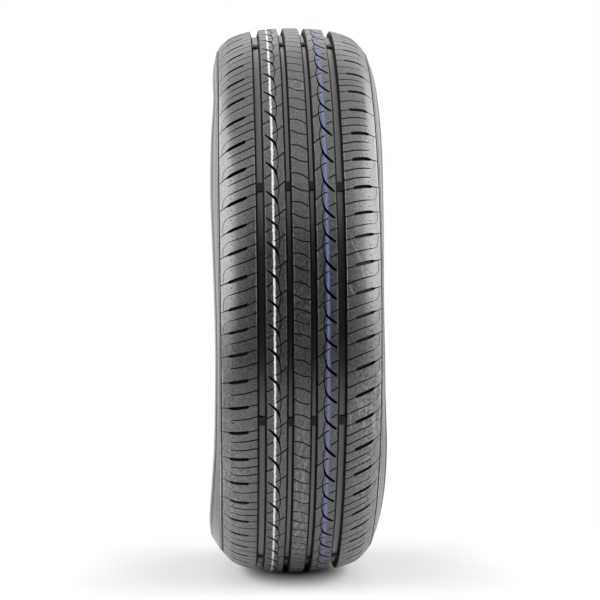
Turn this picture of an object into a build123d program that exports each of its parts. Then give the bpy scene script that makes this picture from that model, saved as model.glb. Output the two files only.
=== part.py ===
from build123d import *
import os
from math import cos, radians, sin, tan

# Radial car tyre of size 185/65 R15, moulded in one piece and standing upright on its tread.
# The axle line is Y, +Z is up and the origin is the centre of the tyre. Lengths are in mm.

# Overall sizes, off the rim
outer_diameter = 621.5
section_width = 180.0
bead_seat_diameter = 380.2
bead_spacing = 149.0

# Tread and buttress, as widths across the tyre and falls below the crown
crown_drop = 2.3
tread_width = 129.0
tread_edge_drop = 9.6
buttress_width = 160.0
buttress_drop = 22.3

# Flank of the sidewall: its top below the crown and its foot above the bead seat
flank_top_drop = 39.65
flank_foot_rise = 31.0

# Walls round the hollow
crown_thickness = 15.5
sidewall_thickness = 6.5
bead_width = 15.0
liner_crown_width = 120.0
liner_side_drop = 46.65

# Main grooves round the tread
groove_depth = 7.5
inner_groove_offset = 11.8
inner_groove_width = 7.4
outer_groove_offset = 40.2
outer_groove_width = 9.4

# Tread pitches: three lengths in an order that repeats round the tyre
pitch_lengths = {"S": 0.84, "M": 1.0, "L": 1.15}
pitch_order = "MMMLMLLLMSMMSSMMMLLMLM" * 3
first_pitch_angle = 66.25

# Slanted shoulder slots, one each side in every pitch, running out at the tread edge
slot_floor_drop = 9.2
slot_flare = 14.0
slot_slant = 17.0
slot_rise = 0.8

# Flat where the tyre stands on its own weight
contact_flat_depth = 1.2

top_radius = outer_diameter / 2
seat_radius = bead_seat_diameter / 2
half_width = section_width / 2
half_bead = bead_spacing / 2
liner_radius = top_radius - crown_thickness
slot_half_width = slot_floor_drop * tan(radians(slot_flare))


def slot_plane(angle, side):
    """Cross-section of a shoulder slot where it leaves its groove, at an angle up from +X."""
    up = Vector(cos(radians(angle)), 0, sin(radians(angle)))
    outward = Vector(0, side, 0)
    along = up.cross(outward)
    start = up * top_radius + outward * outer_groove_offset + along * slot_rise
    run = outward * cos(radians(slot_slant)) + along * sin(radians(slot_slant))
    return Plane(origin=start, x_dir=up.cross(run), z_dir=run)


# Angle of every pitch round the tyre
pitch_total = sum(pitch_lengths[letter] for letter in pitch_order)
pitch_angles = [first_pitch_angle]
for letter in pitch_order[:-1]:
    pitch_angles.append(pitch_angles[-1] - 360 * pitch_lengths[letter] / pitch_total)

with BuildPart() as tyre:
    # Tread, sidewalls, beads and the hollow between them, turned about the axle
    with BuildSketch(Plane.YZ):
        with BuildLine():
            Polyline(
                (0, top_radius),
                (inner_groove_offset, top_radius),
                (outer_groove_offset, top_radius - crown_drop),
                (tread_width / 2, top_radius - tread_edge_drop),
                (buttress_width / 2, top_radius - buttress_drop),
                (half_width, top_radius - flank_top_drop),
                (half_width, seat_radius + flank_foot_rise),
                (half_bead, seat_radius),
                (half_bead - bead_width, seat_radius),
                (half_width - sidewall_thickness, top_radius - liner_side_drop),
                (liner_crown_width / 2, liner_radius),
                (0, liner_radius),
                close=True,
            )
        make_face()
        mirror(about=Plane.YZ)
    revolve(axis=Axis.Y)

    # Four main grooves
    with BuildSketch(Plane.YZ):
        for offset, width, drop in (
            (inner_groove_offset, inner_groove_width, 0),
            (outer_groove_offset, outer_groove_width, crown_drop),
        ):
            height = groove_depth + drop
            middle = top_radius - height / 2
            with Locations((offset, middle), (-offset, middle)):
                Rectangle(width, height)
    revolve(axis=Axis.Y, mode=Mode.SUBTRACT)

    # Shoulder slots, deepest at the groove
    with BuildSketch(*[slot_plane(angle, side) for angle in pitch_angles for side in (1, -1)]):
        with BuildLine():
            Polyline((-slot_half_width, 0), (0, -slot_floor_drop), (slot_half_width, 0), close=True)
        make_face()
    extrude(amount=tread_width / 2, mode=Mode.SUBTRACT)

    # Contact flat
    with Locations((0, 0, -top_radius)):
        Box(outer_diameter, section_width, 2 * contact_flat_depth, mode=Mode.SUBTRACT)

os.makedirs("parts", exist_ok=True)
tyre.part.label = "tyre"
export_step(tyre.part, "parts/tyre.step")
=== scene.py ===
from math import cos, pi, radians, sin, sqrt

import bmesh
import bpy
import numpy as np
from mathutils import Matrix, Vector
from mathutils.geometry import delaunay_2d_cdt


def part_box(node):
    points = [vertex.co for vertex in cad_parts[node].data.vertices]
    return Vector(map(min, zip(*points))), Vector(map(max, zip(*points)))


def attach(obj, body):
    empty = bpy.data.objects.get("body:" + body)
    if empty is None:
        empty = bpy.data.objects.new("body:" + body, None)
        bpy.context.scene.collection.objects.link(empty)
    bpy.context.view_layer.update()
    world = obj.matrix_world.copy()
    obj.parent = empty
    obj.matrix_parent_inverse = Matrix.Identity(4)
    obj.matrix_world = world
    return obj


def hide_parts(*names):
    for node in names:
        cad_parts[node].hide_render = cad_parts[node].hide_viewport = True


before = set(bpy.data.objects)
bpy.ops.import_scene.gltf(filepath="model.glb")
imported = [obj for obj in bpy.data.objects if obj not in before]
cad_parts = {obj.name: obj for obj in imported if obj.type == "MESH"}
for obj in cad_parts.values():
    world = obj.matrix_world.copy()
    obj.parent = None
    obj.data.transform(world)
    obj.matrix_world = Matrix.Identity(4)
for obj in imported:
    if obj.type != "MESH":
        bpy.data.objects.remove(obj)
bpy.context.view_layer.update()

# Lengths are in mm until a mesh is made. The axle line is Y and the tyre stands on -Z.
MM = 0.001

# Sizes of the solid, and the outer form of tread and shoulder as width across and fall below the crown
tyre_low, tyre_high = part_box("tyre")
TOP_RADIUS = round(tyre_high[0] / MM, 2)
FLOOR_HEIGHT = round(tyre_low[2] / MM, 2)
WIDEST = round(tyre_high[1] / MM, 2)
OUTER_POINTS = (
    (-20.0, 0.67),
    (0.0, 0.0),
    (20.0, 0.67),
    (40.0, 2.68),
    (52.0, 5.1),
    (61.0, 8.0),
    (66.0, 10.1),
    (70.0, 12.4),
    (74.0, 15.7),
    (78.0, 19.9),
    (81.0, 23.5),
    (84.0, 30.0),
)
SHOULDER_LINE = 81.0
TREAD_END = 84.0

# Fine ridge outside the shoulder line, where the halves of the mould meet
RIDGE = 82.5
RIDGE_HALF = 0.5
RIDGE_HEIGHT = 0.6

# Sidewall: its widest radius, the arc above it and the fall below it, then its moulded rings as radius,
# half width and height
WIDEST_RADIUS = 250.0
UPPER_WALL_ARC = 81.6
LOWER_WALL_HEIGHT = 43.0
LOWER_WALL_FALL = 8.0
WALL_ROWS = 26
WALL_RINGS = (
    (284.0, 0.9, 0.6),
    (270.5, 0.8, 0.5),
    (267.5, 0.8, 0.5),
    (231.0, 0.8, 0.5),
    (216.0, 1.2, 0.9),
    (211.0, 0.9, 0.6),
)

# Bead and liner, as width across and radius: outer face, rounded heel, seat with its toe, and the hollow
BEAD_FACE = ((79.8, 202.6), (77.8, 199.2))
HEEL_MIDDLE = (70.8, 196.5)
HEEL_ROUND = 6.4
HEEL_ANGLES = (5, 25, 45, 65, 85)
BEAD_SEAT = ((66.0, 190.1), (62.0, 190.2), (60.3, 190.9), (59.6, 192.4))
LINER_POINTS = (
    (59.6, 192.4),
    (64.5, 206.0),
    (73.5, 224.0),
    (80.5, 242.0),
    (82.6, 258.0),
    (79.5, 273.0),
    (70.5, 286.0),
    (56.0, 293.0),
    (38.0, 295.2),
    (18.0, 295.3),
    (0.0, 295.3),
)
LINER_ROWS = 18

# Stance of the soft walls, as height above the axle and how far the wall stands out there
LEFT_STANCE = (
    (-310, 5.0),
    (-285, 5.6),
    (-250, 6.0),
    (-220, 4.4),
    (-190, 1.9),
    (-150, -0.9),
    (-100, -2.4),
    (-50, -3.2),
    (0, -2.7),
    (50, -1.4),
    (110, 0.2),
    (170, -0.8),
    (215, -3.4),
    (250, -2.5),
    (310, -1.0),
)
RIGHT_STANCE = (
    (-310, 1.0),
    (-250, 1.0),
    (-220, 1.8),
    (-190, 2.4),
    (-150, 1.4),
    (-100, -1.8),
    (-50, -3.3),
    (0, -4.2),
    (50, -3.4),
    (110, -1.7),
    (170, 0.2),
    (250, 0.7),
    (310, 0.0),
)
# Share of that stance at each radius: all of it in the walls, half at the beads and none in the tread
SOFT_RADII = (192, 225, 268, 289)
SOFT_SHARES = (0.5, 1, 1, 0)

# Tread pitches: three lengths in an order that repeats round the tyre
PITCH_LENGTHS = {"S": 0.84, "M": 1.0, "L": 1.15}
PITCH_ORDER = "MMMLMLLLMSMMSSMMMLLMLM" * 3
FIRST_PITCH_ANGLE = 66.25
PITCH = 28.8
PITCH_STEPS = 3

# Shoulder sipes and vent pips as shares of the pitch: one sipe in short and medium pitches, two in long ones
SINGLE_SIPE = (0.53,)
SINGLE_PIPS = (0.4, 0.77)
DOUBLE_SIPE = (0.35, 0.67)
DOUBLE_PIPS = (0.19, 0.83)

# Line of a shoulder slot, as width across the tyre and rise round it
SLOT_POINTS = (
    (-25.0, -0.8),
    (0.0, 0.0),
    (25.0, 0.8),
    (45.0, 1.8),
    (54.6, 5.2),
    (64.0, 8.0),
    (73.7, 10.8),
    (78.0, 12.3),
    (81.0, 13.9),
    (84.0, 15.7),
)
SLOT_LINE_RADIUS = 306.0

# Half widths and depths of the slots and sipes, the place of the pips across, and the width of a steep wall
SLOT_HALVES = (1.75, 1.85, 1.9, 1.9, 1.9, 1.9, 1.9, 1.8, 0.75)
SLOT_DEPTH = 5.5
SHOULDER_SIPE_HALVES = (0.7, 0.7, 0.68, 0.62, 0.42)
SHOULDER_SIPE_DEPTH = 3.5
RIB_SIPE_HALF = 0.62
RIB_SIPE_DEPTH = 3.0
PIP_PLACE = 69.3
STEEP_WALL = 0.3

# Slack at the rim and the ends of a cut, and how far a cut goes round a bend for each mm off its line
RIM_SLACK = 0.001
END_SLACK = 0.01
BEND_ROUND = 0.35

# Hooked cut of an inner rib, from the outer groove through the paint line into a long scallop
HOOK_POINTS = (
    (34.2, -0.5),
    (31.2, 1.9),
    (27.8, 5.0),
    (25.0, 8.2),
    (23.3, 12.2),
    (21.9, 19.2),
    (21.3, 27.0),
    (22.0, 33.6),
    (23.2, 37.4),
)
RIGHT_HOOK_HALVES = (1.1, 1.35, 1.4, 1.3, 1.1, 0.8, 0.6, 0.5, 0.45, 0.45, 0.45, 0.4)
LEFT_HOOK_HALVES = (0.65, 1.0, 1.3, 1.4, 1.3, 0.6, 0.48, 0.45, 0.45, 0.45, 0.45, 0.4)
HOOK_DEPTH = 6.5

# Main grooves, as place across and half width, and the wear bars in them
GROOVES = ((-40.2, 4.7), (-11.8, 3.7), (11.8, 3.7), (40.2, 4.7))
GROOVE_DEPTH = 7.5
GROOVE_DRAFT = 2.0
GROOVE_CHAMFER = 0.5
WEAR_BAR_ANGLES = (66.5, 22.1, -23.7, -68.5, -113.5, -158.5, 156.5, 111.5)
WEAR_BAR_LENGTH = 10.5
WEAR_BAR_HEIGHT = 1.6
WEAR_BAR_SUNK = 0.4
WEAR_BAR_OVERLAP = 0.6

# Tread faces: columns across the crown and each shoulder, their distance from the rim of a cut, and the depth
# from which a face counts as the inside of a cut
CROWN_COLUMNS = np.linspace(-61.1, 61.1, 27)
SHOULDER_COLUMNS = np.array(
    (64, 66.5, 68.3, 70.3, 72, 74, 76, 78, 80, RIDGE - RIDGE_HALF, RIDGE, RIDGE + RIDGE_HALF, TREAD_END)
)
RIM_CLEARANCE = 0.7
CUT_DEPTH = 1.2

# In metres: points this close are one point, and an edge this short is none
SAME_POINT = 3e-6
NO_EDGE = 1e-6

# Rubbers of the tyre, in the order of its materials
TREAD, WALL, LINER, CUT, GROOVE_FLOOR = range(5)

# Paint lines round the tread, as place across and half width
WHITE_LINE = -27.3
WHITE_LINE_HALF = 1.0
LAVENDER_LINE = 25.9
LAVENDER_LINE_HALF = 1.35

# Pale scuffs on the right shoulder and the four strokes of a faint pale square on the middle rib, each from
# one place to another as width across and angle up from +X, with its half width
SCUFFS = (
    ((50.2, 10.9), (58.9, 7.4), 0.5),
    ((59.8, 6.4), (61.7, 4.4), 0.7),
    ((47.4, 2.5), (51.3, 1.0), 0.7),
    ((54.6, -18.4), (58.4, -23.0), 0.9),
    ((57.6, -19.0), (59.4, -21.6), 0.5),
    ((60.2, -19.0), (62.6, -25.2), 0.9),
    ((63.6, -20.4), (64.6, -23.4), 0.5),
    ((69.0, -20.7), (70.4, -24.0), 0.6),
    ((72.4, -23.0), (73.6, -28.4), 1.6),
    ((47.5, -21.5), (49.9, -25.3), 0.5),
    # Four strokes that draw a faint pale square on the middle rib
    ((-4.8, 46.9), (6.6, 46.9), 0.5),
    ((6.6, 46.9), (6.3, 44.8), 0.5),
    ((6.3, 44.8), (-4.9, 44.8), 0.5),
    ((-4.9, 44.8), (-4.8, 46.9), 0.5),
)


def curve(points, count):
    """A smooth line through a few points."""
    points = np.array(points, float)
    knots = np.concatenate(([0], np.cumsum(np.linalg.norm(np.diff(points, axis=0), axis=1))))
    padded = np.vstack((2 * points[0] - points[1], points, 2 * points[-1] - points[-2]))
    out = []
    for t in np.linspace(0, knots[-1], count):
        k = min(np.searchsorted(knots, t, side="right") - 1, len(points) - 2)
        s = (t - knots[k]) / (knots[k + 1] - knots[k])
        a, b, c, d = padded[k : k + 4]
        bend = (2 * a - 5 * b + 4 * c - d) * s**2 + (3 * b - a - 3 * c + d) * s**3
        out.append(0.5 * (2 * b + (c - a) * s + bend))
    return np.array(out)


OUTER_LINE = curve(OUTER_POINTS, 200)
SLOT_LINE = curve(SLOT_POINTS, 200)
LEFT_LINE = curve(LEFT_STANCE, 200)
RIGHT_LINE = curve(RIGHT_STANCE, 200)


def outer_radius(across):
    """Radius of the plain outer form at a distance across from the middle."""
    return TOP_RADIUS - np.interp(np.abs(across), *OUTER_LINE.T)


def slot_rise(across):
    """Rise of the slot line round the tyre, turned over on the left side."""
    return np.sign(across) * np.interp(np.abs(across), *SLOT_LINE.T)


class Cut:
    """A groove, slot or sipe: a line in the flat pitch with half widths, a depth and a wall width."""

    def __init__(self, points, halves, depth, wall=None):
        self.points = np.array(points, float)
        halves = np.atleast_1d(halves)
        self.halves = np.interp(np.linspace(0, 1, len(points)), np.linspace(0, 1, len(halves)), halves)
        self.depth = depth
        self.wall = wall

    def moved(self, down):
        """The same cut in another pitch."""
        return Cut(self.points + (0, down), self.halves, self.depth, self.wall)

    def turned(self):
        """The same cut on the other side of the tread, half a turn round the middle of the pitch."""
        return Cut(-self.points, self.halves, self.depth, self.wall)

    def sides(self, inset):
        """Outline of the cut, inset from its rim."""
        run = np.gradient(self.points, axis=0)
        run /= np.linalg.norm(run, axis=1)[:, None]
        across = np.column_stack((-run[:, 1], run[:, 0]))
        middle = self.points.copy()
        middle[0] += run[0] * inset
        middle[-1] -= run[-1] * inset
        half = np.maximum(self.halves - inset, 0)[:, None]
        return np.vstack((middle + across * half, (middle - across * half)[::-1]))

    def bottom(self):
        """Bottom line of a cut without a floor, which stops short of its ends."""
        line = self.points.copy()
        for end, next_to in ((0, 1), (-1, -2)):
            run = line[next_to] - line[end]
            line[end] += run * min(0.5 * self.halves[end] / np.linalg.norm(run), 0.5)
        return line

    def depth_at(self, spots):
        """Depth of the cut at each spot of the flat pitch. A cut ends square and is round at its bends."""
        best = np.zeros(len(spots))
        last = len(self.points) - 2
        for k in range(last + 1):
            a, along = self.points[k], self.points[k + 1] - self.points[k]
            share = ((spots - a) @ along) / (along @ along)
            t = np.clip(share, 0, 1)
            gap = np.linalg.norm(spots - (a + t[:, None] * along), axis=1)
            half = self.halves[k] + (self.halves[k + 1] - self.halves[k]) * t
            wall = self.wall if self.wall else half
            depth = np.clip((half - gap) / wall + RIM_SLACK, 0, 1)
            at_end = ((k == 0) & (share < 0)) | ((k == last) & (share > 1))
            reach = END_SLACK + np.where(at_end, 0, BEND_ROUND * gap)
            past = np.abs(share - t) * np.linalg.norm(along) > reach
            best = np.maximum(best, np.where(past, 0, depth))
        return self.depth * best


def flat(points):
    """Points given as (across, rise) on the right side, in the flat pitch that follows the slot line down."""
    points = np.array(points, float)
    return np.column_stack((points[:, 0], slot_rise(points[:, 0]) - points[:, 1]))


def level(across, down):
    """A line that keeps its distance below the slot line."""
    return np.column_stack((across, np.full(len(across), down)))


def around(across):
    """A line that runs right round the tyre."""
    down = np.linspace(-PITCH, 2 * PITCH, 3 * PITCH_STEPS + 1)
    return np.column_stack((np.full(len(down), across), down))


def pitch_cuts(sipe_shares, pip_shares):
    """Every cut of one pitch, with the shoulder sipes and vent pips at these shares of the pitch."""
    both = [
        # Shoulder slot: a fine start, a wide middle with a blunt inner end, and a fine tail
        Cut(level(np.linspace(43.5, 53.4, 4), 0), 0.6, 3.5),
        Cut(level(np.linspace(53.9, 73.4, 9), 0), SLOT_HALVES, SLOT_DEPTH, STEEP_WALL),
        Cut(level(np.linspace(73.0, 80.4, 5), 0), (0.7, 0.6, 0.45), 3.0),
        # Short sipes of the inner rib
        Cut(flat([(36.0, 16.5), (32.0, 14.3), (28.6, 12.3)]), RIB_SIPE_HALF, RIB_SIPE_DEPTH),
        Cut(
            flat(curve([(27.0, -1.3), (24.5, -2.2), (20.9, -4.8), (15.0, -9.9)], 6)),
            RIB_SIPE_HALF,
            RIB_SIPE_DEPTH,
        ),
        # Fine line round the shoulder
        Cut(around(SHOULDER_LINE), 0.8, 1.6),
    ]
    for share in sipe_shares:
        line = level(np.linspace(43.5, 72.0, 8), share * PITCH)
        both.append(Cut(line, SHOULDER_SIPE_HALVES, SHOULDER_SIPE_DEPTH))
    # Faint line from the end of the first sipe back to the slot's tail
    down = sipe_shares[0] * PITCH
    bend = [(72.1, 0), (74.4, 0.5), (76.2, 2.2), (77.2, 4.6), (77.6, 7.5), (77.7, down - 1.6)]
    both.append(Cut((0, down) + curve(bend, 9) * (1, -1), 0.4, 0.5))
    # Vent pips, trimmed flush
    for share in pip_shares:
        pip = [(PIP_PLACE, share * PITCH + offset) for offset in (-0.6, -0.4, 0.0, 0.4, 0.6)]
        both.append(Cut(pip, (0.26, 0.5, 0.6, 0.5, 0.26), 1.3, 0.2))
    hook = flat(curve(HOOK_POINTS, 20))
    right = both + [Cut(hook, RIGHT_HOOK_HALVES, HOOK_DEPTH, STEEP_WALL)]
    left = both + [Cut(hook, LEFT_HOOK_HALVES, HOOK_DEPTH, STEEP_WALL)]
    # Two bowed sipes of the middle rib
    middle = []
    for points in (
        [(-8.6, 17.1), (-3.0, 17.0), (2.5, 15.4), (8.6, 11.2)],
        [(-8.6, 5.2), (-4.0, 2.6), (1.5, 0.2), (8.6, -0.6)],
    ):
        middle.append(Cut(flat(curve(points, 6)), RIB_SIPE_HALF, RIB_SIPE_DEPTH))
    cuts = middle + right + [cut.turned() for cut in left]
    for across, half in GROOVES:
        cuts.append(Cut(around(across), half, GROOVE_DEPTH, GROOVE_DRAFT))
        cuts.append(Cut(around(across), half + GROOVE_CHAMFER, GROOVE_CHAMFER, GROOVE_CHAMFER))
    repeated = []
    for cut in cuts:
        for pitches in (-2, -1, 0, 1, 2):
            copy = cut.moved(pitches * PITCH)
            if copy.points[:, 1].max() > -3 and copy.points[:, 1].min() < PITCH + 3:
                repeated.append(copy)
    return repeated


def pitch_mesh(cuts):
    """Flat pitch as triangles: spots (across, down) with their depths, and the corners of every triangle."""
    spots, edges = [], []

    def add_line(points, closed):
        first = len(spots)
        spots.extend(points)
        count = len(points)
        edges.extend((first + k, first + (k + 1) % count) for k in range(count if closed else count - 1))

    for cut in cuts:
        add_line(cut.sides(0), True)
        if cut.wall:
            add_line(cut.sides(cut.wall), True)
        else:
            add_line(cut.bottom(), False)
    grid_across = np.concatenate((-SHOULDER_COLUMNS, CROWN_COLUMNS, SHOULDER_COLUMNS))
    grid_down = np.linspace(0, PITCH, PITCH_STEPS + 1)
    grid = np.array([(u, w) for w in grid_down for u in grid_across])
    near = np.zeros(len(grid), bool)
    for cut in cuts:
        for inset in (0, cut.wall or cut.halves.max()):
            rim = cut.sides(min(inset, cut.halves.max()))
            for a, b in zip(rim, np.roll(rim, -1, axis=0)):
                along = b - a
                t = np.clip(((grid - a) @ along) / max(along @ along, 1e-9), 0, 1)
                near |= np.linalg.norm(grid - (a + t[:, None] * along), axis=1) < RIM_CLEARANCE
    outside = np.abs(grid[:, 0]) > RIDGE - RIDGE_HALF - 0.1
    spots.extend(grid[~near | outside])
    for w in (0, PITCH):
        add_line([(-TREAD_END, w), (TREAD_END, w)], False)
    for u in (-TREAD_END, TREAD_END):
        add_line([(u, 0), (u, PITCH)], False)
    flat_spots, _, faces, *_ = delaunay_2d_cdt([Vector(s) for s in spots], edges, [], 0, 1e-4)
    flat_spots = np.array([tuple(s) for s in flat_spots])
    kept = []
    for face in faces:
        middle = flat_spots[list(face)].mean(axis=0)
        if 0 < middle[1] < PITCH and abs(middle[0]) < TREAD_END:
            kept.append(tuple(face))
    used = sorted({k for face in kept for k in face})
    index = {k: n for n, k in enumerate(used)}
    flat_spots = flat_spots[used]
    depths = np.max([cut.depth_at(flat_spots) for cut in cuts], axis=0)
    return flat_spots, depths, [tuple(index[k] for k in face) for face in kept]


def on_tyre(across, radius, angle):
    """Points in metres from the width across, the radius and the angle up from +X in degrees."""
    across, radius, a = np.broadcast_arrays(np.asarray(across, float), radius, np.radians(angle))
    height = np.maximum(radius * np.sin(a), FLOOR_HEIGHT)
    soft = np.interp(radius, SOFT_RADII, SOFT_SHARES)
    left, right = (np.interp(height, *line.T) for line in (LEFT_LINE, RIGHT_LINE))
    stance = np.where(across < 0, left, right)
    return np.column_stack((radius * np.cos(a), across + np.sign(across) * soft * stance, height)) * MM


def wall_profile():
    """Section of one side from the tread's end round the bead to the middle of the liner."""
    foot = WIDEST_RADIUS - LOWER_WALL_HEIGHT
    radii = list(np.linspace(outer_radius(TREAD_END), foot, WALL_ROWS))
    for middle, half, _ in WALL_RINGS:
        radii = [r for r in radii if abs(r - middle) > half + 0.5]
        radii += [middle + half, middle + half * 0.45, middle - half * 0.45, middle - half]
    points = []
    for r in sorted(radii, reverse=True):
        if r > WIDEST_RADIUS:
            y = WIDEST - UPPER_WALL_ARC + sqrt(UPPER_WALL_ARC**2 - (r - WIDEST_RADIUS) ** 2)
        else:
            y = WIDEST - LOWER_WALL_FALL * ((WIDEST_RADIUS - r) / LOWER_WALL_HEIGHT) ** 3
        lift = max([height for middle, half, height in WALL_RINGS if abs(r - middle) < half * 0.6], default=0)
        points.append((y + lift, r))
    points[0] = (TREAD_END, float(outer_radius(TREAD_END)))
    points += BEAD_FACE
    y, r = HEEL_MIDDLE
    points += [(y + HEEL_ROUND * cos(radians(t)), r - HEEL_ROUND * sin(radians(t))) for t in HEEL_ANGLES]
    points += BEAD_SEAT
    return np.array(points), curve(LINER_POINTS, LINER_ROWS)[1:]


def tyre_mesh():
    """The whole tyre as one closed mesh: tread from repeated pitches, then walls, beads and liner."""
    total = sum(PITCH_LENGTHS[letter] for letter in PITCH_ORDER)
    degrees = [360 * PITCH_LENGTHS[letter] / total for letter in PITCH_ORDER]
    starts = FIRST_PITCH_ANGLE - np.concatenate(([0], np.cumsum(degrees)[:-1]))
    single = pitch_mesh(pitch_cuts(SINGLE_SIPE, SINGLE_PIPS))
    double = pitch_mesh(pitch_cuts(DOUBLE_SIPE, DOUBLE_PIPS))
    verts, faces, zones = [], [], []
    count = 0
    for letter, start, length in zip(PITCH_ORDER, starts, degrees):
        spots, depths, corners = double if letter == "L" else single
        across = spots[:, 0]
        angle = start - length * spots[:, 1] / PITCH + np.degrees(slot_rise(across) / SLOT_LINE_RADIUS)
        ridge = RIDGE_HEIGHT * np.clip(1 - np.abs(np.abs(across) - RIDGE) / RIDGE_HALF, 0, 1)
        verts.append(on_tyre(across, outer_radius(across) + ridge - depths, angle))
        faces += [tuple(k + count for k in reversed(face)) for face in corners]
        corner_depths = depths[np.array(corners)]
        floor = corner_depths.min(axis=1) > GROOVE_DEPTH - 0.05
        carved = corner_depths.max(axis=1) > CUT_DEPTH
        zones += list(np.where(floor, GROOVE_FLOOR, np.where(carved, CUT, TREAD)))
        count += len(spots)
    ring = np.concatenate([s - d * np.arange(PITCH_STEPS) / PITCH_STEPS for s, d in zip(starts, degrees)])
    outside, liner = wall_profile()
    half = np.vstack((outside, liner))
    section = np.vstack((half, (half * (-1, 1))[-2::-1]))
    twist = np.linspace(1, -1, len(section)) * np.degrees(slot_rise(TREAD_END) / SLOT_LINE_RADIUS)
    size = len(ring)
    for (y, r), turn in zip(section, twist):
        verts.append(on_tyre(y, r, ring + turn))
    for row in range(len(section) - 1):
        zone = LINER if len(outside) <= row + 1 < len(section) - len(outside) + 1 else WALL
        for k in range(size):
            a, b = count + row * size + k, count + row * size + (k + 1) % size
            faces.append((a, b, b + size, a + size))
            zones.append(zone)
    return np.vstack(verts), faces, zones


def wear_bars():
    """Raised bars across the floors of the main grooves."""
    verts, faces = [], []
    top, foot = WEAR_BAR_HEIGHT, -WEAR_BAR_SUNK
    section = ((-0.5, foot), (-0.45, top), (0.0, top), (0.45, top), (0.5, foot))
    count = len(section)
    for angle in WEAR_BAR_ANGLES:
        for across, half in GROOVES:
            floor = float(outer_radius(across)) - GROOVE_DEPTH
            reach = half - GROOVE_DRAFT + WEAR_BAR_OVERLAP
            first = len(verts)
            for side in (-1, 1):
                for along, lift in section:
                    turn = np.degrees(along * WEAR_BAR_LENGTH / floor)
                    verts.append(on_tyre(across + side * reach, floor + lift, angle + turn)[0])
            for k in range(count):
                n = (k + 1) % count
                faces.append((first + k, first + n, first + count + n, first + count + k))
            faces.append(tuple(first + k for k in range(count)))
            faces.append(tuple(first + count + k for k in reversed(range(count))))
    return verts, faces


def new_piece(name, verts, faces, materials, zones=None, sharp=30):
    """A mesh object on the tyre's body, shaded smooth up to an angle."""
    mesh = bpy.data.meshes.new(name)
    mesh.from_pydata([tuple(v) for v in verts], [], faces)
    for material in materials:
        mesh.materials.append(material)
    if zones is not None:
        mesh.polygons.foreach_set("material_index", zones)
    shape = bmesh.new()
    shape.from_mesh(mesh)
    bmesh.ops.remove_doubles(shape, verts=shape.verts, dist=SAME_POINT)
    bmesh.ops.dissolve_degenerate(shape, edges=shape.edges, dist=NO_EDGE)
    bmesh.ops.recalc_face_normals(shape, faces=shape.faces)
    shape.to_mesh(mesh)
    shape.free()
    mesh.shade_smooth()
    mesh.set_sharp_from_angle(angle=radians(sharp))
    piece = bpy.data.objects.new(name, mesh)
    bpy.context.scene.collection.objects.link(piece)
    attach(piece, "root")
    return piece


def true_tread_shine(piece):
    """Gives the plain tread faces the normals of the turned form, so that no cut dents the shine round it."""
    mesh = piece.data
    corners = np.zeros(len(mesh.loops), int)
    mesh.loops.foreach_get("vertex_index", corners)
    places = np.zeros(3 * len(mesh.vertices))
    mesh.vertices.foreach_get("co", places)
    x, across, z = places.reshape(-1, 3).T / MM
    radius = np.hypot(x, z)
    plain = (np.abs(radius - outer_radius(across)) < 0.03) & (np.abs(across) < SHOULDER_LINE - 1)
    widths, falls = OUTER_LINE.T
    slope = np.interp(np.abs(across), widths, np.gradient(falls, widths))
    normals = np.column_stack((x / radius, np.sign(across) * slope, z / radius))
    normals /= np.sqrt(1 + slope**2)[:, None]
    starts, sizes = np.zeros((2, len(mesh.polygons)), int)
    mesh.polygons.foreach_get("loop_start", starts)
    mesh.polygons.foreach_get("loop_total", sizes)
    whole = np.logical_and.reduceat(plain[corners], starts)
    mesh.normals_split_custom_set(np.where(np.repeat(whole, sizes)[:, None], normals[corners], 0).tolist())


def linear(code):
    """Linear colour from an sRGB hex code."""
    parts = [int(code[k : k + 2], 16) / 255 for k in (1, 3, 5)]
    return [p / 12.92 if p <= 0.04045 else ((p + 0.055) / 1.055) ** 2.4 for p in parts] + [1.0]


def node(tree, kind, inputs=None, **settings):
    """Adds a node with its settings and gives its outputs. An input is a value or another node's output."""
    made = tree.nodes.new(kind)
    for key, value in settings.items():
        setattr(made, key, value)
    for key, value in (inputs or {}).items():
        if isinstance(value, bpy.types.NodeSocket):
            tree.links.new(value, made.inputs[key])
        else:
            made.inputs[key].default_value = value
    return made.outputs


def new_material(name):
    """A material with its node tree and the inputs of its shader."""
    material = bpy.data.materials.new(name)
    material.use_nodes = True
    tree = material.node_tree
    return material, tree, tree.nodes["Principled BSDF"].inputs


# Black rubber: the typical IOR, with the strong satin shine that carbon black and wax give a new tyre
RUBBER_IOR = 1.52
RUBBER_SHINE = 0.8

# Sizes of the patterns in the rubber. Mould grain is about 0.2 mm and is drawn coarser so that it shows.
CLOUD = 25.0
MOTTLE = 6.0
GRAIN = 1.8
RAGGED = 3.0
GRAIN_HEIGHT = 0.2
VENT_LINE_SPACING = 4.0

# Heights above the axle where rubbing and dust start and where they are full. Dust on the shoulders starts
# further up on the right, by this share of the width across.
RUBBED_HEIGHTS = (-80, -180)
DUSTY_HEIGHTS = (-40, -140)
DUST_LEAN = -0.6
GROOVE_DUST_HEIGHTS = (-170, -290)


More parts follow.
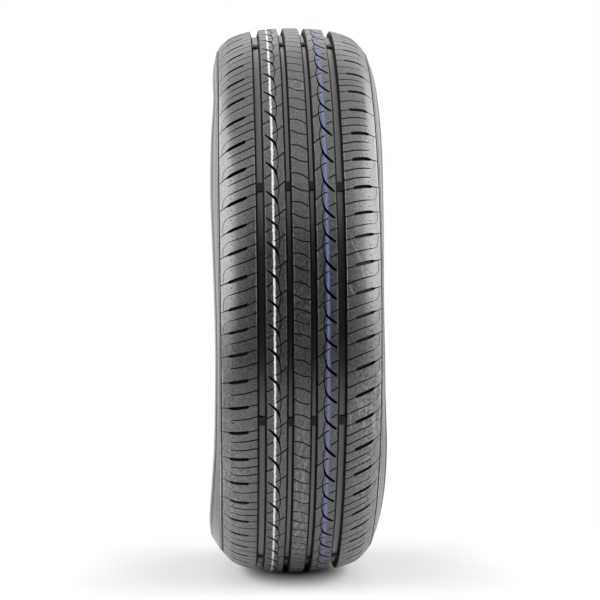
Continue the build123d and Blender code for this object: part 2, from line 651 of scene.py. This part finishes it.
def tread_rubber():
    """Hot-moulded tread rubber: near black with a satin face and a fine grain, two ragged paint lines,
    pale scuffs, rubbing and dust, and painted highlights: pale glints along the shoulder lines and a painted
    reflection on the ridge low on the tyre."""
    material, tree, shader = new_material("moulded tread rubber")
    place = node(tree, "ShaderNodeTexCoord")["Object"]
    axes = node(tree, "ShaderNodeSeparateXYZ", {"Vector": place})
    across = axes["Y"]
    angle = node(tree, "ShaderNodeMath", {0: axes["Z"], 1: axes["X"]}, operation="ARCTAN2")[0]
    arc = node(tree, "ShaderNodeMath", {0: angle, 1: TOP_RADIUS * MM}, operation="MULTIPLY")[0]
    unrolled = node(tree, "ShaderNodeCombineXYZ", {"X": across, "Y": arc})[0]
    cloud = node(tree, "ShaderNodeTexNoise", {"Vector": place, "Scale": 1 / (CLOUD * MM), "Detail": 4.0})[0]
    grain = node(tree, "ShaderNodeTexNoise", {"Vector": place, "Scale": 1 / (GRAIN * MM), "Detail": 2.0})[0]
    ragged = node(tree, "ShaderNodeTexNoise", {"Vector": place, "Scale": 1 / (RAGGED * MM), "Detail": 3.0})[0]

    # Rubber of the ribs, clouded and grained
    clouded = node(tree, "ShaderNodeMapRange", {"Value": cloud, "From Min": 0.35, "From Max": 0.7})[0]
    rubber = node(
        tree, "ShaderNodeMixRGB", {"Fac": clouded, "Color1": linear("#121213"), "Color2": linear("#1c1c1d")}
    )[0]
    flecked = node(tree, "ShaderNodeMapRange", {"Value": grain, "From Min": 0.36, "From Max": 0.7})[0]
    fleck = linear("#4b4b4c")
    rubber = node(tree, "ShaderNodeMixRGB", {"Fac": flecked, "Color1": rubber, "Color2": fleck})[0]

    # Pale rubbing on the middle rib, thickest near the floor
    middle = node(tree, "ShaderNodeMath", {0: across}, operation="ABSOLUTE")[0]
    on_rib = node(tree, "ShaderNodeMapRange", {"Value": middle, "From Min": 8 * MM, "From Max": 5 * MM})[0]
    start, full = (z * MM for z in RUBBED_HEIGHTS)
    low = node(tree, "ShaderNodeMapRange", {"Value": axes["Z"], "From Min": start, "From Max": full})[0]
    streaks = node(tree, "ShaderNodeVectorMath", {0: unrolled, 1: (1.6, 0.6, 1)}, operation="MULTIPLY")[0]
    mottle = node(
        tree, "ShaderNodeTexNoise", {"Vector": streaks, "Scale": 1 / (MOTTLE * MM), "Detail": 3.0}
    )[0]
    rubbed = node(tree, "ShaderNodeMapRange", {"Value": mottle, "From Min": 0.47, "From Max": 0.7})[0]
    rubbed = node(tree, "ShaderNodeMath", {0: rubbed, 1: on_rib}, operation="MULTIPLY")[0]
    rubbed = node(tree, "ShaderNodeMath", {0: rubbed, 1: low}, operation="MULTIPLY")[0]
    rubber = node(tree, "ShaderNodeMixRGB", {"Fac": rubbed, "Color1": rubber, "Color2": linear("#747472")})[0]

    # Pale dust in the grain of the shoulders, low on the tyre and further up on the right
    leaning = node(
        tree, "ShaderNodeMath", {0: across, 1: DUST_LEAN, 2: axes["Z"]}, operation="MULTIPLY_ADD"
    )[0]
    start, full = (z * MM for z in DUSTY_HEIGHTS)
    settled = node(tree, "ShaderNodeMapRange", {"Value": leaning, "From Min": start, "From Max": full})[0]
    on_shoulder = node(
        tree, "ShaderNodeMapRange", {"Value": middle, "From Min": 44 * MM, "From Max": 66 * MM}
    )[0]
    dusty = node(tree, "ShaderNodeMapRange", {"Value": ragged, "From Min": 0.36, "From Max": 0.66})[0]
    dusty = node(tree, "ShaderNodeMath", {0: dusty, 1: on_shoulder}, operation="MULTIPLY")[0]
    dusty = node(tree, "ShaderNodeMath", {0: dusty, 1: settled}, operation="MULTIPLY")[0]
    rubber = node(tree, "ShaderNodeMixRGB", {"Fac": dusty, "Color1": rubber, "Color2": linear("#6c6c6a")})[0]

    # Scuffs: the distance from each stroke, broken up by the grain
    scuffed = None
    for start, end, half in SCUFFS:
        a, b = (Vector((y, radians(turn) * TOP_RADIUS, 0)) * MM for y, turn in (start, end))
        run = b - a
        offset = node(tree, "ShaderNodeVectorMath", {0: unrolled, 1: a}, operation="SUBTRACT")[0]
        share = node(
            tree, "ShaderNodeVectorMath", {0: offset, 1: run / run.length_squared}, operation="DOT_PRODUCT"
        )["Value"]
        share = node(tree, "ShaderNodeClamp", {"Value": share})[0]
        foot = node(tree, "ShaderNodeVectorMath", {0: run, "Scale": share}, operation="SCALE")[0]
        gap = node(tree, "ShaderNodeVectorMath", {0: offset, 1: foot}, operation="DISTANCE")["Value"]
        mark = node(
            tree,
            "ShaderNodeMapRange",
            {"Value": gap, "From Min": 1.7 * half * MM, "From Max": 0.3 * half * MM},
        )[0]
        if scuffed:
            mark = node(tree, "ShaderNodeMath", {0: mark, 1: scuffed}, operation="MAXIMUM")[0]
        scuffed = mark
    broken = node(tree, "ShaderNodeMapRange", {"Value": ragged, "From Min": 0.25, "From Max": 0.65})[0]
    scuffed = node(tree, "ShaderNodeMath", {0: scuffed, 1: broken}, operation="MULTIPLY")[0]
    scuff = linear("#7a7a78")
    rubber = node(tree, "ShaderNodeMixRGB", {"Fac": scuffed, "Color1": rubber, "Color2": scuff})[0]

    # Painted highlights: broken pale glints along the shoulder lines, and a pale painted reflection on the
    # ridge outside them low on the tyre
    for line, from_share, full_share, where, code in (
        (SHOULDER_LINE, 0.57, 0.7, None, "#7c7c7a"),
        (RIDGE, 0.32, 0.55, low, "#a4a4a2"),
    ):
        off_line = node(tree, "ShaderNodeMath", {0: middle, 1: line * MM}, operation="SUBTRACT")[0]
        off_line = node(tree, "ShaderNodeMath", {0: off_line}, operation="ABSOLUTE")[0]
        painted_glint = node(
            tree, "ShaderNodeMapRange", {"Value": off_line, "From Min": 1.0 * MM, "From Max": 0.5 * MM}
        )[0]
        trace = node(
            tree, "ShaderNodeMapRange", {"Value": ragged, "From Min": from_share, "From Max": full_share}
        )[0]
        painted_glint = node(tree, "ShaderNodeMath", {0: painted_glint, 1: trace}, operation="MULTIPLY")[0]
        if where:
            painted_glint = node(tree, "ShaderNodeMath", {0: painted_glint, 1: where}, operation="MULTIPLY")[0]
        # Mixes the painted highlight into the rubber colour
        rubber = node(tree, "ShaderNodeMixRGB", {"Fac": painted_glint, "Color1": rubber, "Color2": linear(code)})[0]

    # Paint lines with ragged edges
    wander = node(tree, "ShaderNodeMapRange", {"Value": ragged, "To Min": -1.1 * MM, "To Max": 1.1 * MM})[0]
    painted = None
    for middle_line, half, soft, code in (
        (WHITE_LINE, WHITE_LINE_HALF, 0.35, "#d6d6d3"),
        (LAVENDER_LINE, LAVENDER_LINE_HALF, 0.8, "#535b90"),
    ):
        gap = node(tree, "ShaderNodeMath", {0: across, 1: middle_line * MM}, operation="SUBTRACT")[0]
        gap = node(tree, "ShaderNodeMath", {0: gap}, operation="ABSOLUTE")[0]
        gap = node(tree, "ShaderNodeMath", {0: gap, 1: wander}, operation="ADD")[0]
        line = node(
            tree,
            "ShaderNodeMapRange",
            {"Value": gap, "From Min": (half + soft) * MM, "From Max": (half - soft) * MM},
        )[0]
        rubber = node(tree, "ShaderNodeMixRGB", {"Fac": line, "Color1": rubber, "Color2": linear(code)})[0]
        if painted:
            line = node(tree, "ShaderNodeMath", {0: line, 1: painted}, operation="MAXIMUM")[0]
        painted = line
    tree.links.new(rubber, shader["Base Color"])

    # Satin ribs and matt paint
    rough = node(tree, "ShaderNodeMapRange", {"Value": cloud, "To Min": 0.31, "To Max": 0.4})[0]
    matt = node(tree, "ShaderNodeMath", {0: painted, 1: 0.2}, operation="MULTIPLY")[0]
    rough = node(tree, "ShaderNodeMath", {0: rough, 1: matt}, operation="ADD")[0]
    tree.links.new(rough, shader["Roughness"])
    bump = node(tree, "ShaderNodeBump", {"Height": grain, "Strength": 0.35, "Distance": GRAIN_HEIGHT * MM})
    tree.links.new(bump["Normal"], shader["Normal"])
    shader["IOR"].default_value = RUBBER_IOR
    shader["Specular IOR Level"].default_value = RUBBER_SHINE
    return material


def cut_rubber():
    """Tread rubber inside the cuts, moulded by steel blades: near black and dull, with no dust, drawn darker
    and less shiny than the ribs as painted shade in the recesses.
    Where the lavender paint ran in it is dark blue, a painted shade of that paint."""
    material, tree, shader = new_material("rubber of the cuts with painted shade")
    place = node(tree, "ShaderNodeTexCoord")["Object"]
    across = node(tree, "ShaderNodeSeparateXYZ", {"Vector": place})["Y"]
    grain = node(tree, "ShaderNodeTexNoise", {"Vector": place, "Scale": 1 / (GRAIN * MM), "Detail": 2.0})[0]
    # Near black rubber, darker than the ribs: painted shade in the cuts
    rubber = node(
        tree, "ShaderNodeMixRGB", {"Fac": grain, "Color1": linear("#0a0a0b"), "Color2": linear("#1a1a1b")}
    )[0]
    # The lavender paint inside the cuts, drawn dark navy as painted shade
    gap = node(tree, "ShaderNodeMath", {0: across, 1: LAVENDER_LINE * MM}, operation="SUBTRACT")[0]
    gap = node(tree, "ShaderNodeMath", {0: gap}, operation="ABSOLUTE")[0]
    line = node(
        tree,
        "ShaderNodeMapRange",
        {"Value": gap, "From Min": 1.5 * LAVENDER_LINE_HALF * MM, "From Max": LAVENDER_LINE_HALF * MM},
    )[0]
    rubber = node(tree, "ShaderNodeMixRGB", {"Fac": line, "Color1": rubber, "Color2": linear("#0c123c")})[0]
    tree.links.new(rubber, shader["Base Color"])
    rough = node(tree, "ShaderNodeMapRange", {"Value": grain, "To Min": 0.5, "To Max": 0.65})[0]
    tree.links.new(rough, shader["Roughness"])
    shader["IOR"].default_value = RUBBER_IOR
    # Weak shine, part of the painted shade in the cuts
    shader["Specular IOR Level"].default_value = 0.3
    return material


def groove_rubber():
    """Tread rubber of the groove floors, moulded against polished ribs: black, smooth and shiny."""
    material, tree, shader = new_material("smooth groove floor rubber")
    place = node(tree, "ShaderNodeTexCoord")["Object"]
    cloud = node(tree, "ShaderNodeTexNoise", {"Vector": place, "Scale": 1 / (CLOUD * MM), "Detail": 4.0})[0]
    grain = node(tree, "ShaderNodeTexNoise", {"Vector": place, "Scale": 1 / (GRAIN * MM), "Detail": 2.0})[0]
    rubber = node(
        tree, "ShaderNodeMixRGB", {"Fac": cloud, "Color1": linear("#1d1d1e"), "Color2": linear("#2d2d2e")}
    )[0]
    # Dust that settles low on the tyre
    height = node(tree, "ShaderNodeSeparateXYZ", {"Vector": place})["Z"]
    start, full = (z * MM for z in GROOVE_DUST_HEIGHTS)
    settled = node(tree, "ShaderNodeMapRange", {"Value": height, "From Min": start, "From Max": full})[0]
    dust = linear("#5c5c5a")
    rubber = node(tree, "ShaderNodeMixRGB", {"Fac": settled, "Color1": rubber, "Color2": dust})[0]
    tree.links.new(rubber, shader["Base Color"])
    rough = node(tree, "ShaderNodeMapRange", {"Value": cloud, "To Min": 0.32, "To Max": 0.42})[0]
    tree.links.new(rough, shader["Roughness"])
    bump = node(tree, "ShaderNodeBump", {"Height": grain, "Strength": 0.15, "Distance": GRAIN_HEIGHT * MM})
    tree.links.new(bump["Normal"], shader["Normal"])
    shader["IOR"].default_value = RUBBER_IOR
    shader["Specular IOR Level"].default_value = 1.0
    return material


def wall_rubber():
    """Moulded sidewall rubber: black and satin, with a fine grain and a faint brown bloom of wax in clouds,
    which looks pale from low along the wall."""
    material, tree, shader = new_material("moulded sidewall rubber")
    place = node(tree, "ShaderNodeTexCoord")["Object"]
    cloud = node(tree, "ShaderNodeTexNoise", {"Vector": place, "Scale": 1 / (CLOUD * MM), "Detail": 5.0})[0]
    grain = node(tree, "ShaderNodeTexNoise", {"Vector": place, "Scale": 1 / (GRAIN * MM), "Detail": 2.0})[0]
    bloom = node(tree, "ShaderNodeMapRange", {"Value": cloud, "From Min": 0.4, "From Max": 0.75})[0]
    rubber = node(
        tree, "ShaderNodeMixRGB", {"Fac": bloom, "Color1": linear("#19191a"), "Color2": linear("#272624")}
    )[0]
    flecked = node(tree, "ShaderNodeMapRange", {"Value": grain, "From Min": 0.55, "From Max": 0.75})[0]
    fleck = linear("#303030")
    rubber = node(tree, "ShaderNodeMixRGB", {"Fac": flecked, "Color1": rubber, "Color2": fleck})[0]
    tree.links.new(rubber, shader["Base Color"])
    rough = node(tree, "ShaderNodeMapRange", {"Value": cloud, "To Min": 0.4, "To Max": 0.52})[0]
    tree.links.new(rough, shader["Roughness"])
    bump = node(tree, "ShaderNodeBump", {"Height": grain, "Strength": 0.2, "Distance": GRAIN_HEIGHT * MM})
    tree.links.new(bump["Normal"], shader["Normal"])
    shader["IOR"].default_value = RUBBER_IOR
    shader["Specular IOR Level"].default_value = 0.4
    shader["Sheen Weight"].default_value = 0.45
    shader["Sheen Roughness"].default_value = 0.35
    return material


def liner_rubber():
    """Butyl liner rubber pressed by a curing bladder: duller and greyer, with fine slanted vent lines."""
    material, tree, shader = new_material("bladder-cured butyl liner")
    place = node(tree, "ShaderNodeTexCoord")["Object"]
    axes = node(tree, "ShaderNodeSeparateXYZ", {"Vector": place})
    angle = node(tree, "ShaderNodeMath", {0: axes["Z"], 1: axes["X"]}, operation="ARCTAN2")[0]
    arc = node(tree, "ShaderNodeMath", {0: angle, 1: TOP_RADIUS * MM}, operation="MULTIPLY")[0]
    slanted = node(tree, "ShaderNodeMath", {0: arc, 1: axes["Y"]}, operation="ADD")[0]
    turns = 2 * pi / (VENT_LINE_SPACING * MM)
    wave = node(tree, "ShaderNodeMath", {0: slanted, 1: turns}, operation="MULTIPLY")[0]
    wave = node(tree, "ShaderNodeMath", {0: wave}, operation="SINE")[0]
    line = node(tree, "ShaderNodeMapRange", {"Value": wave, "From Min": 0.6, "From Max": 1.0})[0]
    cloud = node(tree, "ShaderNodeTexNoise", {"Vector": place, "Scale": 1 / (CLOUD * MM), "Detail": 4.0})[0]
    rubber = node(
        tree, "ShaderNodeMixRGB", {"Fac": cloud, "Color1": linear("#1d1d1e"), "Color2": linear("#2c2c2c")}
    )[0]
    tree.links.new(rubber, shader["Base Color"])
    rough = node(tree, "ShaderNodeMapRange", {"Value": cloud, "To Min": 0.5, "To Max": 0.62})[0]
    tree.links.new(rough, shader["Roughness"])
    bump = node(tree, "ShaderNodeBump", {"Height": line, "Strength": 0.4, "Distance": 0.3 * MM})
    tree.links.new(bump["Normal"], shader["Normal"])
    shader["IOR"].default_value = RUBBER_IOR
    return material


def wear_bar_rubber():
    """Tread rubber of the wear bars, moulded against an engraved face: duller than the groove floors."""
    material, tree, shader = new_material("matt wear bar rubber")
    place = node(tree, "ShaderNodeTexCoord")["Object"]
    grain = node(tree, "ShaderNodeTexNoise", {"Vector": place, "Scale": 1 / (GRAIN * MM), "Detail": 2.0})[0]
    rubber = node(
        tree, "ShaderNodeMixRGB", {"Fac": grain, "Color1": linear("#0e0e0f"), "Color2": linear("#1c1c1d")}
    )[0]
    tree.links.new(rubber, shader["Base Color"])
    rough = node(tree, "ShaderNodeMapRange", {"Value": grain, "To Min": 0.6, "To Max": 0.75})[0]
    tree.links.new(rough, shader["Roughness"])
    bump = node(tree, "ShaderNodeBump", {"Height": grain, "Strength": 0.5, "Distance": 0.3 * MM})
    tree.links.new(bump["Normal"], shader["Normal"])
    shader["IOR"].default_value = RUBBER_IOR
    return material


verts, faces, zones = tyre_mesh()
rubbers = [tread_rubber(), wall_rubber(), liner_rubber(), cut_rubber(), groove_rubber()]
tyre = new_piece("tyre_rubber", verts, faces, rubbers, zones, sharp=32)
true_tread_shine(tyre)
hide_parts("tyre")

bar_verts, bar_faces = wear_bars()
new_piece("wear_bars", bar_verts, bar_faces, [wear_bar_rubber()])


def stage_panel(name, corners, material):
    """A flat sheet of the studio."""
    mesh = bpy.data.meshes.new(name)
    mesh.from_pydata(corners, [], [(0, 1, 2, 3)])
    mesh.materials.append(material)
    panel = bpy.data.objects.new(name, mesh)
    bpy.context.scene.collection.objects.link(panel)
    return panel


def seen_or_mirrored(tree):
    """1 where a surface is seen straight, mirrored or through another, and 0 where it only gives light."""
    path = node(tree, "ShaderNodeLightPath")
    seen = node(
        tree, "ShaderNodeMath", {0: path["Is Camera Ray"], 1: path["Is Glossy Ray"]}, operation="MAXIMUM"
    )[0]
    return node(tree, "ShaderNodeMath", {0: seen, 1: path["Is Transmission Ray"]}, operation="MAXIMUM")[0]


# Floor: pale paper that keeps the shadow and goes over into white further off. The studio is in metres.
FADE_START = 0.34
FADE_END = 0.62
FLOOR_REACH = 8.0
paper, tree, shader = new_material("pale backdrop paper")
shader["Base Color"].default_value = linear("#e4e4e4")
shader["Roughness"].default_value = 0.9
shader["Specular IOR Level"].default_value = 0.0
place = node(tree, "ShaderNodeTexCoord")["Object"]
reach = node(tree, "ShaderNodeVectorMath", {0: place}, operation="LENGTH")["Value"]
far = node(tree, "ShaderNodeMapRange", {"Value": reach, "From Min": FADE_START, "From Max": FADE_END})[0]
far = node(tree, "ShaderNodeMath", {0: far, 1: seen_or_mirrored(tree)}, operation="MULTIPLY")[0]
white = node(tree, "ShaderNodeEmission", {"Color": linear("#ffffff"), "Strength": 1.0})[0]
bounce = tree.nodes["Principled BSDF"].outputs["BSDF"]
mixed = node(tree, "ShaderNodeMixShader", {0: far, 1: bounce, 2: white})[0]
tree.links.new(mixed, tree.nodes["Material Output"].inputs["Surface"])
floor_height = FLOOR_HEIGHT * MM
stage_panel(
    "studio_floor",
    [(x * FLOOR_REACH, y * FLOOR_REACH, floor_height) for x, y in ((-1, -1), (1, -1), (1, 1), (-1, 1))],
    paper,
)

# Black cloth in front, hung up and laid on the floor: it shows only as a dark reflection in the tread
cloth, tree, shader = new_material("black studio cloth")
shader["Base Color"].default_value = linear("#0a0a0a")
shader["Roughness"].default_value = 1.0
shader["Specular IOR Level"].default_value = 0.0
CLOTH_NEAR = 0.62
CLOTH_FAR = 1.5
CLOTH_HALF = 1.2
CLOTH_FOOT = floor_height + 0.002
CLOTH_TOP = 0.85
for name, line in (
    ("hung_cloth", ((CLOTH_FAR, CLOTH_FOOT), (CLOTH_FAR, CLOTH_TOP))),
    ("laid_cloth", ((CLOTH_NEAR, CLOTH_FOOT), (CLOTH_FAR, CLOTH_FOOT))),
):
    (x0, z0), (x1, z1) = line
    corners = [(x0, -CLOTH_HALF, z0), (x0, CLOTH_HALF, z0), (x1, CLOTH_HALF, z1), (x1, -CLOTH_HALF, z1)]
    panel = stage_panel(name, corners, cloth)
    panel.visible_camera = False
    panel.visible_diffuse = False
    panel.visible_shadow = False

# White studio all round: full white where it is seen or mirrored, less as light
WORLD_LIGHT = 0.22
world = bpy.data.worlds.new("studio")
bpy.context.scene.world = world
world.use_nodes = True
tree = world.node_tree
tree.nodes.clear()
dim = node(tree, "ShaderNodeBackground", {"Color": linear("#ffffff"), "Strength": WORLD_LIGHT})[0]
white = node(tree, "ShaderNodeBackground", {"Color": linear("#ffffff"), "Strength": 1.0})[0]
mixed = node(tree, "ShaderNodeMixShader", {0: seen_or_mirrored(tree), 1: dim, 2: white})[0]
node(tree, "ShaderNodeOutputWorld", {"Surface": mixed})


def softbox(name, place, aim, width, height, power):
    """A large soft lamp that the camera doesn't see."""
    lamp = bpy.data.lights.new(name, "AREA")
    lamp.shape = "RECTANGLE"
    lamp.size, lamp.size_y = width, height
    lamp.energy = power
    holder = bpy.data.objects.new(name, lamp)
    holder.location = place
    holder.rotation_mode = "QUATERNION"
    holder.rotation_quaternion = (Vector(aim) - Vector(place)).to_track_quat("-Z", "Y")
    holder.visible_camera = False
    bpy.context.scene.collection.objects.link(holder)


# Name, place, the point it faces, width, height and power of each lamp
for lamp in (
    ("left_softbox", (0.55, -1.4, 0.65), (0.55, 0, 0.65), 1.4, 1.5, 36),
    ("left_back_softbox", (-0.9, -1.4, 0.5), (-0.9, 0, 0.5), 1.5, 1.6, 26),
    ("right_softbox", (0.68, 1.4, 0.65), (0.68, 0, 0.65), 1.4, 1.5, 40),
    ("right_back_softbox", (-0.9, 1.4, 0.5), (-0.9, 0, 0.5), 1.5, 1.6, 26),
    ("high_back_softbox", (-1.1, 0, 1.45), (0.14, 0, 0.28), 3.0, 0.85, 7),
    ("ceiling_softbox", (0.6, 0, 1.6), (0.6, 0, 0), 2.0, 4.2, 13),
):
    softbox(*lamp)

# Camera in front of the tread, level with the axle
CAMERA_PLACE = Vector((2107.9, -76.9, 0.0)) * MM
CAMERA_YAW = radians(-2.377)
CAMERA_ROLL = radians(-0.601)
FOCAL_PIXELS = 1825.3
IMAGE_PIXELS = 600
ahead = Vector((-cos(CAMERA_YAW), -sin(CAMERA_YAW), 0))
beside = Vector((-sin(CAMERA_YAW), cos(CAMERA_YAW), 0))
above = beside.cross(ahead)
right = beside * cos(CAMERA_ROLL) + above * sin(CAMERA_ROLL)
up = above * cos(CAMERA_ROLL) - beside * sin(CAMERA_ROLL)
lens = bpy.data.cameras.new("camera")
lens.sensor_width = 36.0
lens.lens = lens.sensor_width * FOCAL_PIXELS / IMAGE_PIXELS
camera = bpy.data.objects.new("camera", lens)
turn = Matrix((right, up, -ahead)).transposed()
camera.matrix_world = Matrix.Translation(CAMERA_PLACE) @ turn.to_4x4()
bpy.context.scene.collection.objects.link(camera)
bpy.context.scene.camera = camera
bpy.context.scene.view_settings.view_transform = "Standard"
